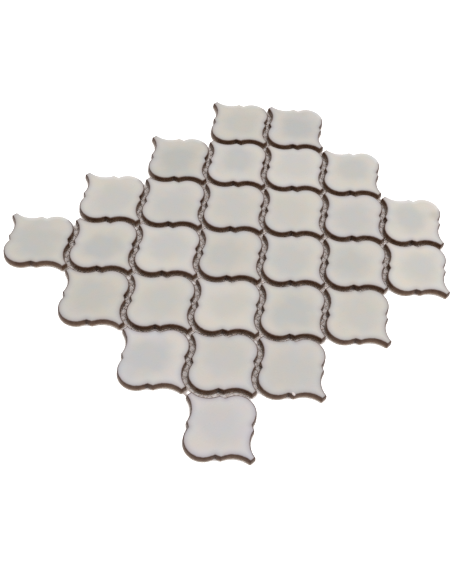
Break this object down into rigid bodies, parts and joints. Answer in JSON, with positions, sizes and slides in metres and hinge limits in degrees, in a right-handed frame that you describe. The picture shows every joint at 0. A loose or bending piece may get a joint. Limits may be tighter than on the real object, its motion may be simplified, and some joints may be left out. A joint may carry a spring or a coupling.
{
  "type": "mesh-mounted arabesque tile sheet",
  "caption": "Interlocking sheet of glazed porcelain arabesque lantern tiles set with open joints on a backing net, for walls and backsplashes.",
  "frame": {"origin": "under the middle of the sheet's bounding box, on the plane that the backing net lies on", "axes": "+Z out of the glazed faces, +X along the tiles' ears, the sheet's long side, +Y along the tiles' tips; the column with one tile set off its place is at -X"},
  "size_m": [0.282, 0.2518, 0.0055],
  "materials": {
    "glazed_porcelain": "gloss",
    "net_yarn": "matte"
  },
  "bodies": {
    "root": {"tile_column_1": "glazed_porcelain", "tile_column_2": "glazed_porcelain", "tile_column_3": "glazed_porcelain", "tile_column_4": "glazed_porcelain", "tile_column_5": "glazed_porcelain", "tile_column_6": "glazed_porcelain", "tile_column_7": "glazed_porcelain", "tile_column_8": "glazed_porcelain", "net_warp": "net_yarn", "net_weft": "net_yarn"}
  },
  "joints": []
}
